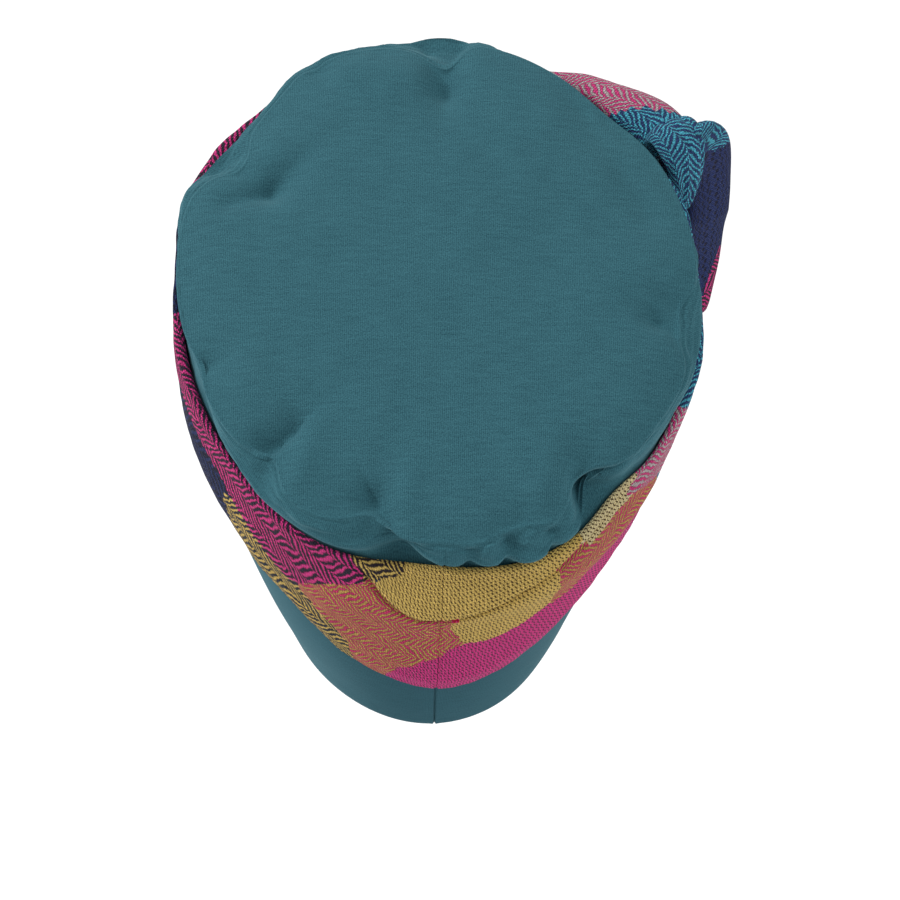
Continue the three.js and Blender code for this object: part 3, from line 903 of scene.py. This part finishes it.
def tail_flap():
    """The scarf's folded end: a flat tube along a line that comes out of the loop and falls."""
    count, around = 120, 56
    titles = ("outward", "upright", "half", "thick")
    outward, upright, half, thick = smooth_table(TAIL_LINE, titles, count + 1)
    along = np.stack([np.gradient(outward), np.gradient(upright)], axis=-1)
    along /= np.linalg.norm(along, axis=1)[:, None]
    beside = np.stack([-along[:, 1], along[:, 0]], axis=-1)
    turn, index = np.meshgrid(np.linspace(0, 2 * pi, around + 1), np.arange(count + 1))
    wide = np.sign(np.cos(turn)) * np.abs(np.cos(turn)) ** TAIL.square
    deep = np.sign(np.sin(turn)) * np.abs(np.sin(turn)) ** TAIL.square
    end = np.minimum(index / 3, (count - index) / 6)
    ends = np.sqrt(1 - (1 - np.clip(end, 0, 1)) ** 2)
    across = half[index] * wide * ends
    crease = TAIL_CREASE.deep * bell(wide, TAIL_CREASE.at, TAIL_CREASE.spread) * (deep > 0)
    crease = crease * smooth(TAIL_CREASE.start, TAIL_CREASE.full, index / count)
    sideways = (thick[index] / 2 * deep - crease) * ends
    fallen = np.clip((TAIL_SWING.start - upright[index]) / TAIL_SWING.length, 0, 1)
    sideways = sideways + TAIL_SWING.aside * np.sin(fallen * pi)
    outward = outward[index] + beside[index, 0] * across
    upright = upright[index] + beside[index, 1] * across
    points = on_knot(outward, sideways, upright)
    length = distances_along(points)
    length = length - length[-1]
    ring = np.broadcast_to(np.arange(around + 1) * TAIL.round / around, length.shape)
    aslant = radians(TAIL.slant)
    across = ring * cos(aslant) - length * sin(aslant)
    down = ring * sin(aslant) + length * cos(aslant)
    piece = cloth_grid("tail_flap", points, np.stack([across, down], axis=-1) * MM, closes=True)
    return face_outwards(piece)


def knot_place(piece):
    """How far outward and upright each face of a piece lies in the knot's frame."""
    away = face_values(piece, "center") / MM - on_knot(0.0, 0.0, 0.0)
    facing = radians(KNOT.facing)
    return away[:, 0] * cos(facing) + away[:, 1] * sin(facing), away[:, 2]


# Where the knot's colours change, upright, and the slanting edge of the corner at the flap's end
FOOT_BELOW = -20
TOP_ABOVE = 7
CORNER = Values(outward=23.5, upright=-65, slope=0.385, below=-60)


def paint_loop(piece):
    """The loop is cyan and navy, and navy at its foot."""
    _, upright = knot_place(piece)
    everywhere = np.ones(len(upright), bool)
    foot = upright < FOOT_BELOW
    paint(piece, [(everywhere, "cyan", HERRINGBONE), (foot, "navy", WAFFLE)])


def paint_tail(piece):
    """The flap is navy, cyan at its top, with a magenta corner at its outer lower edge."""
    outward, upright = knot_place(piece)
    everywhere = np.ones(len(upright), bool)
    top = upright > TOP_ABOVE
    edge = CORNER.outward + (upright - CORNER.upright) * CORNER.slope
    corner = (outward > edge) & (upright < CORNER.below)
    layers = [(everywhere, "navy", WAFFLE), (top, "cyan", HERRINGBONE), (corner, "magenta", HERRINGBONE)]
    paint(piece, layers)


# Materials


def feed(tree, socket, value):
    """Links a value to a socket, or sets it there."""
    if isinstance(value, bpy.types.NodeSocket):
        tree.links.new(value, socket)
    else:
        socket.default_value = value


def set_values(node, values):
    """Sets constants on a node's own sockets."""
    for name, value in values.items():
        node.inputs[name].default_value = value


def maths(tree, operation, *values):
    """One step of arithmetic."""
    node = tree.nodes.new("ShaderNodeMath")
    node.operation = operation
    for socket, value in zip(node.inputs, values):
        feed(tree, socket, value)
    return node.outputs[0]


def grain(tree, place, scale, detail=2.0, stretch=None, shift=0.0):
    """Noise from 0 to 1 at a place in metres."""
    if shift:
        moved = tree.nodes.new("ShaderNodeVectorMath")
        feed(tree, moved.inputs[0], place)
        moved.inputs[1].default_value = (shift, shift, shift)
        place = moved.outputs[0]
    if stretch:
        mapping = tree.nodes.new("ShaderNodeMapping")
        feed(tree, mapping.inputs["Vector"], place)
        set_values(mapping, {"Scale": stretch})
        place = mapping.outputs["Vector"]
    node = tree.nodes.new("ShaderNodeTexNoise")
    feed(tree, node.inputs["Vector"], place)
    set_values(node, {"Scale": scale, "Detail": detail})
    return node.outputs["Fac"]


def wander(tree, place, scale, reach, shift=0.0, detail=2.0):
    """Noise that wanders by half its reach to both sides of nothing."""
    centred = maths(tree, "SUBTRACT", grain(tree, place, scale, detail, None, shift), 0.5)
    return maths(tree, "MULTIPLY", centred, reach)


def ramp(tree, value, low, high, to_low=0.0, to_high=1.0):
    """A soft step from one value to another."""
    node = tree.nodes.new("ShaderNodeMapRange")
    node.interpolation_type = "SMOOTHSTEP"
    feed(tree, node.inputs["Value"], value)
    set_values(node, {"From Min": low, "From Max": high, "To Min": to_low, "To Max": to_high})
    return node.outputs["Result"]


def blend(tree, factor, a, b):
    """A mix of two colours."""
    node = tree.nodes.new("ShaderNodeMix")
    node.data_type = "RGBA"
    feed(tree, node.inputs[0], factor)
    feed(tree, node.inputs[6], a)
    feed(tree, node.inputs[7], b)
    return node.outputs[2]


def split_place(tree, place):
    """How far along and across the cloth a place lies."""
    node = tree.nodes.new("ShaderNodeSeparateXYZ")
    feed(tree, node.inputs[0], place)
    return node.outputs["X"], node.outputs["Y"]


def new_group(name, sizes, results):
    """An empty shader node group that takes a place and some sizes in metres, and gives values."""
    group = bpy.data.node_groups.new(name, "ShaderNodeTree")
    group.interface.new_socket("Place", in_out="INPUT", socket_type="NodeSocketVector")
    for title, value in sizes.items():
        socket = group.interface.new_socket(title, in_out="INPUT", socket_type="NodeSocketFloat")
        socket.default_value = value
    for title in results:
        group.interface.new_socket(title, in_out="OUTPUT", socket_type="NodeSocketFloat")
    given = group.nodes.new("NodeGroupInput").outputs
    return group, given, group.nodes.new("NodeGroupOutput").inputs, partial(maths, group)


# Brushed jersey: the width of a course in metres, how far the wales wander, the scales of its noise, and
# how much each part of it raises and lightens the cloth
COURSE = 0.0012
WALE_WANDER = Values(scale=60.0, reach=0.0012)
JERSEY_SCALES = Values(nap=1500.0, streak=620.0, mottle=34.0)
STREAK_STRETCH = (0.14, 1.0, 1.0)
JERSEY_HEIGHT = Values(wale=0.22, course=0.1, nap=1.0)
JERSEY_SHADE = Values(wale=0.07, nap=0.75, streak=0.2, mottle=0.07, dark=0.22, light=0.8)


def jersey_group():
    """Brushed jersey: fine wales, a soft mottle and the nap, as one height and one shade."""
    group, given, result, do = new_group("brushed_jersey", {"Wale": WALE}, ["Height", "Shade"])
    place = given["Place"]
    x, y = split_place(group, place)
    across = do("ADD", x, do("MULTIPLY", grain(group, place, WALE_WANDER.scale), WALE_WANDER.reach))
    wale = do("SINE", do("MULTIPLY", do("DIVIDE", across, given["Wale"]), 2 * pi))
    course = do("SINE", do("MULTIPLY", y, 2 * pi / COURSE))
    nap = grain(group, place, JERSEY_SCALES.nap, 3.0)
    streak = grain(group, place, JERSEY_SCALES.streak, 2.0, STREAK_STRETCH)
    mottle = grain(group, place, JERSEY_SCALES.mottle, 3.0)
    height = do("MULTIPLY_ADD", wale, JERSEY_HEIGHT.wale, do("MULTIPLY", course, JERSEY_HEIGHT.course))
    height = do("MULTIPLY_ADD", nap, JERSEY_HEIGHT.nap, height)
    shade = do("MULTIPLY_ADD", wale, JERSEY_SHADE.wale, do("MULTIPLY", nap, JERSEY_SHADE.nap))
    shade = do("MULTIPLY_ADD", streak, JERSEY_SHADE.streak, shade)
    shade = do("MULTIPLY_ADD", mottle, JERSEY_SHADE.mottle, shade)
    feed(group, result["Height"], height)
    feed(group, result["Shade"], ramp(group, shade, JERSEY_SHADE.dark, JERSEY_SHADE.light))
    return group


# Herringbone: the strokes' pitch and the beads on them in metres, a column's width in strokes, and how
# its lines wander, as noise scale, reach and shift
STROKE = {"Pitch": 0.0038, "Leg": 2.1, "Bead": 0.0015}
STROKE_SLANT = 1.1
BEAD_SHARE = 0.13
STROKE_WANDER = {
    "bend": (75.0, 0.007, 3.0),
    "ragged": (420.0, 0.0028, 7.0),
    "rise": (60.0, 0.007, 11.0),
    "speck": (1100.0, 0.7, 17.0),
}


def herringbone_group():
    """Herringbone knit: columns of slanted strokes that turn back and miss each other at each column."""
    group, given, result, do = new_group("herringbone_knit", STROKE, ["Mask", "Gap"])
    place = given["Place"]
    pitch = given["Pitch"]
    bend, ragged, rise, speck = (wander(group, place, *row) for row in STROKE_WANDER.values())
    x, y = split_place(group, place)
    x = do("ADD", do("ADD", x, bend), ragged)
    y = do("ADD", y, rise)
    leg = do("MULTIPLY", pitch, given["Leg"])
    zigzag = do("PINGPONG", y, leg)
    column = do("FLOOR", do("DIVIDE", y, leg))
    shift = do("MULTIPLY", do("MULTIPLY", column, 0.5), pitch)
    slanted = do("MULTIPLY_ADD", zigzag, STROKE_SLANT, do("ADD", x, shift))
    stripe = do("PINGPONG", do("DIVIDE", slanted, pitch), 0.5)
    crossing = do("MULTIPLY_ADD", zigzag, STROKE_SLANT, do("MULTIPLY", x, -1.0))
    along = do("DIVIDE", crossing, given["Bead"])
    bead = do("MULTIPLY", do("SINE", do("MULTIPLY", along, 2 * pi)), BEAD_SHARE)
    total = do("ADD", do("MULTIPLY_ADD", stripe, 2.0, bead), speck)
    feed(group, result["Mask"], ramp(group, total, 0.4, 0.6))
    near = do("ABSOLUTE", do("SUBTRACT", total, 0.5))
    feed(group, result["Gap"], ramp(group, near, 0.05, 0.26, 1.0, 0.0))
    return group


# Waffle knit: a pit's pitch in metres, how far its rows drift, every other row's shift in pitches, and
# how a pit leans, how narrow and how low it is
PIT_PITCH = 0.0019
PIT_DRIFT = (330.0, 0.0012)
PIT_SPECK = (900.0, 0.24)
ROW_SHIFT = 0.22
PIT = Values(lean=0.6, wide=3.6, tall=0.62, dark=0.05, light=0.18)


def waffle_group():
    """Waffle knit: rows of small dark pits, with every other row shifted."""
    group, given, result, do = new_group("waffle_knit", {"Pitch": PIT_PITCH}, ["Mask"])
    place = given["Place"]
    x, y = split_place(group, place)
    drift = wander(group, place, *PIT_DRIFT)
    row = do("DIVIDE", do("ADD", y, drift), given["Pitch"])
    odd = do("MULTIPLY", do("MODULO", do("FLOOR", row), 2.0), ROW_SHIFT)
    column = do("ADD", do("DIVIDE", do("SUBTRACT", x, drift), given["Pitch"]), odd)
    dx = do("SUBTRACT", do("FRACT", column), 0.5)
    dy = do("SUBTRACT", do("FRACT", row), 0.5)
    lean = do("MULTIPLY_ADD", dy, PIT.lean, dx)
    wide = do("MULTIPLY", do("MULTIPLY", lean, lean), PIT.wide)
    tall = do("MULTIPLY", do("MULTIPLY", dy, dy), PIT.tall)
    far = do("ADD", do("ADD", tall, wide), wander(group, place, *PIT_SPECK, detail=1.0))
    feed(group, result["Mask"], ramp(group, far, PIT.dark, PIT.light))
    return group


# Single stitches: their pitch and drift in metres, and how flat their tops are
STITCH = Values(pitch=0.00115, drift=0.0016, drift_scale=300.0, flat=0.6)


def stitch_group():
    """Single stitches, about a millimetre across, as round tops with dark gaps between."""
    group, given, result, do = new_group("stitches", {"Pitch": STITCH.pitch}, ["Height"])
    place = given["Place"]
    drift = do("MULTIPLY", grain(group, place, STITCH.drift_scale), STITCH.drift)
    waves_crossing = []
    for direction in split_place(group, place):
        stitch = do("DIVIDE", do("ADD", direction, drift), given["Pitch"])
        waves_crossing.append(do("SINE", do("MULTIPLY", stitch, pi)))
    top = do("ABSOLUTE", do("MULTIPLY", *waves_crossing))
    feed(group, result["Height"], do("POWER", top, STITCH.flat))
    return group


def group_node(tree, group, **values):
    """A use of a node group, with the values it is given."""
    node = tree.nodes.new("ShaderNodeGroup")
    node.node_tree = group
    for name, value in values.items():
        feed(tree, node.inputs[name], value)
    return node.outputs


def new_material(name):
    """A new material, its nodes and its shader."""
    material = bpy.data.materials.new(name)
    material.use_nodes = True
    tree = material.node_tree
    return material, tree, tree.nodes["Principled BSDF"]


def uv_place(tree):
    """The place on the cloth laid flat, in metres."""
    node = tree.nodes.new("ShaderNodeUVMap")
    node.uv_map = "UVMap"
    return node.outputs["UV"]


def relief(tree, shader, height, distance, strength):
    """Bumps on a surface, from a height."""
    bump = tree.nodes.new("ShaderNodeBump")
    set_values(bump, {"Distance": distance, "Strength": strength})
    feed(tree, bump.inputs["Height"], height)
    feed(tree, shader.inputs["Normal"], bump.outputs["Normal"])


# How rough and how glossy the cloths are, and how their fibres catch the light
JERSEY_SHADER = {
    "Roughness": 0.95,
    "Specular IOR Level": 0.15,
    "Sheen Roughness": 0.4,
    "Sheen Tint": (0.45, 0.85, 0.95, 1),
}
KNIT_SHADER = {
    "Roughness": 0.92,
    "Specular IOR Level": 0.15,
    "Sheen Weight": 0.06,
    "Sheen Roughness": 0.5,
}
JERSEY_RELIEF = {"distance": 0.0002, "strength": 0.5}
KNIT_RELIEF = {"distance": 0.0007, "strength": 0.9}


def jersey_material(name, group, look):
    """Brushed jersey between two shades of one colour."""
    material, tree, shader = new_material(name)
    cloth = group_node(tree, group, Place=uv_place(tree), Wale=WALE)
    dark, light = ((*linear(shade), 1) for shade in (look.dark, look.light))
    feed(tree, shader.inputs["Base Color"], blend(tree, cloth["Shade"], dark, light))
    set_values(shader, JERSEY_SHADER)
    set_values(shader, {"Sheen Weight": look.sheen})
    relief(tree, shader, cloth["Height"], **JERSEY_RELIEF)
    return material


# The knit: a pit's pitch for each of a stroke's, the scales of its noise, how much its fibres, tufts and
# stitches lighten it and the gaps between strokes darken it, and how much its yarn and fibres stand out
PITS_PER_STROKE = 0.5
KNIT_SCALES = Values(fibre=2400.0, tuft=420.0)
KNIT_SHADE = Values(fibre=0.6, tuft=0.5, plain=0.2, stitch=0.5, gap=-0.55)
KNIT_HEIGHT = Values(yarn=0.5, fibre=0.35)


def knit_material(name, herringbone, waffle, stitches):
    """The scarf's knit, from the yarns that each face carries."""
    material, tree, shader = new_material(name)
    do = partial(maths, tree)
    place = uv_place(tree)
    stored = {}
    for title, output in (("yarn", "Color"), ("ground", "Color"), ("knit", "Fac"), ("pitch", "Fac")):
        node = tree.nodes.new("ShaderNodeAttribute")
        node.attribute_name = title
        stored[title] = node.outputs[output]
    strokes = group_node(tree, herringbone, Place=place, Pitch=stored["pitch"])
    pit_pitch = do("MULTIPLY", stored["pitch"], PITS_PER_STROKE)
    pits = group_node(tree, waffle, Place=place, Pitch=pit_pitch)["Mask"]
    stitch = group_node(tree, stitches, Place=place)["Height"]
    plain = do("SUBTRACT", 1.0, stored["knit"])
    mask = do("ADD", do("MULTIPLY", plain, strokes["Mask"]), do("MULTIPLY", stored["knit"], pits))
    fibre = grain(tree, place, KNIT_SCALES.fibre, 3.0)
    tuft = grain(tree, place, KNIT_SCALES.tuft)
    value = do("MULTIPLY_ADD", tuft, KNIT_SHADE.tuft, KNIT_SHADE.plain)
    value = do("MULTIPLY_ADD", fibre, KNIT_SHADE.fibre, value)
    value = do("MULTIPLY_ADD", stitch, KNIT_SHADE.stitch, value)
    gap = do("MULTIPLY", strokes["Gap"], plain)
    value = do("MULTIPLY", value, do("MULTIPLY_ADD", gap, KNIT_SHADE.gap, 1.0))
    shade = tree.nodes.new("ShaderNodeVectorMath")
    shade.operation = "SCALE"
    feed(tree, shade.inputs[0], blend(tree, mask, stored["ground"], stored["yarn"]))
    feed(tree, shade.inputs["Scale"], value)
    feed(tree, shader.inputs["Base Color"], shade.outputs[0])
    set_values(shader, KNIT_SHADER)
    height = do("MULTIPLY_ADD", mask, KNIT_HEIGHT.yarn, do("MULTIPLY", fibre, KNIT_HEIGHT.fibre))
    relief(tree, shader, do("ADD", height, stitch), **KNIT_RELIEF)
    return material


# The camera stands behind the hat, a little over a metre away, and looks down on it
VIEW = Values(elevation=40, distance=1.4, focal_pixels=2694, opening_x=428.5, opening_y=562)
PICTURE = 900
SENSOR = 36


def add_camera():
    """Stands the camera where the photo was taken from."""
    rise = radians(VIEW.elevation)
    back = Vector((0, cos(rise), sin(rise)))
    right = Vector((-1, 0, 0))
    over = Vector((0, -sin(rise), cos(rise)))
    aside = (PICTURE / 2 - VIEW.opening_x) / VIEW.focal_pixels
    above = (VIEW.opening_y - PICTURE / 2) / VIEW.focal_pixels
    look = -back + aside * right + above * over
    bpy.ops.object.camera_add(location=back * VIEW.distance)
    camera = bpy.context.object
    camera.rotation_mode = "QUATERNION"
    camera.rotation_quaternion = look.to_track_quat("-Z", "Y")
    camera.data.sensor_width = SENSOR
    camera.data.lens = VIEW.focal_pixels * SENSOR / PICTURE
    bpy.context.scene.camera = camera


# The floor well below the hat, the lamps in metres and watts, the point they face, and the sky's strength
FLOOR = {"size": 14, "location": (0, 0, -0.42)}
FLOOR_SHADER = {
    "Base Color": (0.98, 0.98, 0.98, 1),
    "Roughness": 0.9,
    "Emission Color": (1, 1, 1, 1),
    "Emission Strength": 0.06,
}
LAMPS = [
    {"name": "key", "place": (4.8, -0.75, 3.5), "size": 1.5, "power": 270},
    {"name": "fill", "place": (-1.8, 0.6, 1.6), "size": 1.6, "power": 23},
]
LAMP_AIM = (0, 0, 0.1)
SKY = {"Color": (1, 1, 1, 1), "Strength": 0.52}


def add_floor():
    """A plain pale floor, well below the hat, which is held up."""
    bpy.ops.mesh.primitive_plane_add(**FLOOR)
    floor = bpy.context.object
    floor.name = "floor"
    material, _, shader = new_material("pale_floor")
    set_values(shader, FLOOR_SHADER)
    floor.data.materials.append(material)


def add_lamp(name, place, size, power):
    """A soft square lamp that points at the hat."""
    bpy.ops.object.light_add(type="AREA", location=place)
    lamp = bpy.context.object
    lamp.name = name
    lamp.data.size = size
    lamp.data.energy = power
    lamp.rotation_mode = "QUATERNION"
    aim = Vector(LAMP_AIM) - Vector(place)
    lamp.rotation_quaternion = aim.to_track_quat("-Z", "Y")


def add_light():
    """Daylight from all round and the lamps."""
    world = bpy.data.worlds.new("studio")
    bpy.context.scene.world = world
    world.use_nodes = True
    set_values(world.node_tree.nodes["Background"], SKY)
    for lamp in LAMPS:
        add_lamp(**lamp)
    bpy.context.scene.view_settings.view_transform = "Standard"


# The knitted pieces: the node each stands for, how it is made and how it is coloured
KNITTED = [
    ("scarf_band", scarf_wrap, paint_scarf),
    ("knot_wrap", knot_loop, paint_loop),
    ("scarf_tail", tail_flap, paint_tail),
]


def build():
    """Makes the six cloths with their materials and puts them in the frame."""
    jersey = jersey_group()
    herringbone = herringbone_group()
    waffle = waffle_group()
    crown_cloth = jersey_material("crown_jersey", jersey, CROWN_LOOK)
    band_cloth = jersey_material("band_jersey", jersey, BAND_LOOK)
    knit = knit_material("scarf_knit", herringbone, waffle, stitch_group())
    place_piece(top_panel(), ["crown_top"], crown_cloth)
    place_piece(side_panel(), ["crown_side"], crown_cloth)
    place_piece(lower_band(), ["head_band"], band_cloth)
    for node, make, colour in KNITTED:
        piece = make()
        colour(piece)
        place_piece(piece, [node], knit)


build()
add_camera()
add_floor()
add_light()
